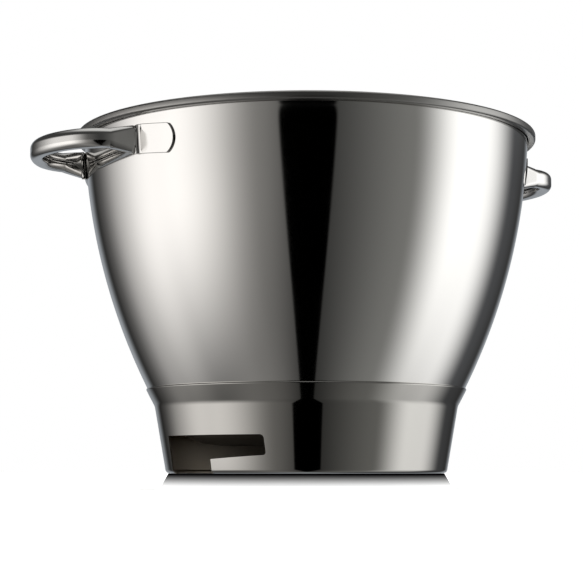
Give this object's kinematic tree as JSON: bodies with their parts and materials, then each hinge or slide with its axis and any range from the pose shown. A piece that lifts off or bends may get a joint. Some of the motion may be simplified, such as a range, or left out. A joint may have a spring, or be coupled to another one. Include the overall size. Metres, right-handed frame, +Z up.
{
  "type": "stand mixer bowl",
  "caption": "Deep polished steel mixing bowl with a rolled rim, loop side handles of rolled strip, and a tapered base ring with L-shaped bayonet slots.",
  "frame": {"origin": "centre of the foot ring, on the table, under the bowl's axis", "axes": "+Z up along the bowl's axis; the handles lie along X, the left one at -X and the right one 3.3 degrees round from +X toward +Y; -Y is the front, which the camera looks at from 26 degrees toward -X"},
  "size_m": [0.3278, 0.266, 0.194],
  "materials": {
    "polished_steel": "mirror polished"
  },
  "bodies": {
    "root": {"bowl_shell": "polished_steel", "base_skirt": "polished_steel", "left_handle": "polished_steel", "right_handle": "polished_steel"}
  },
  "joints": []
}
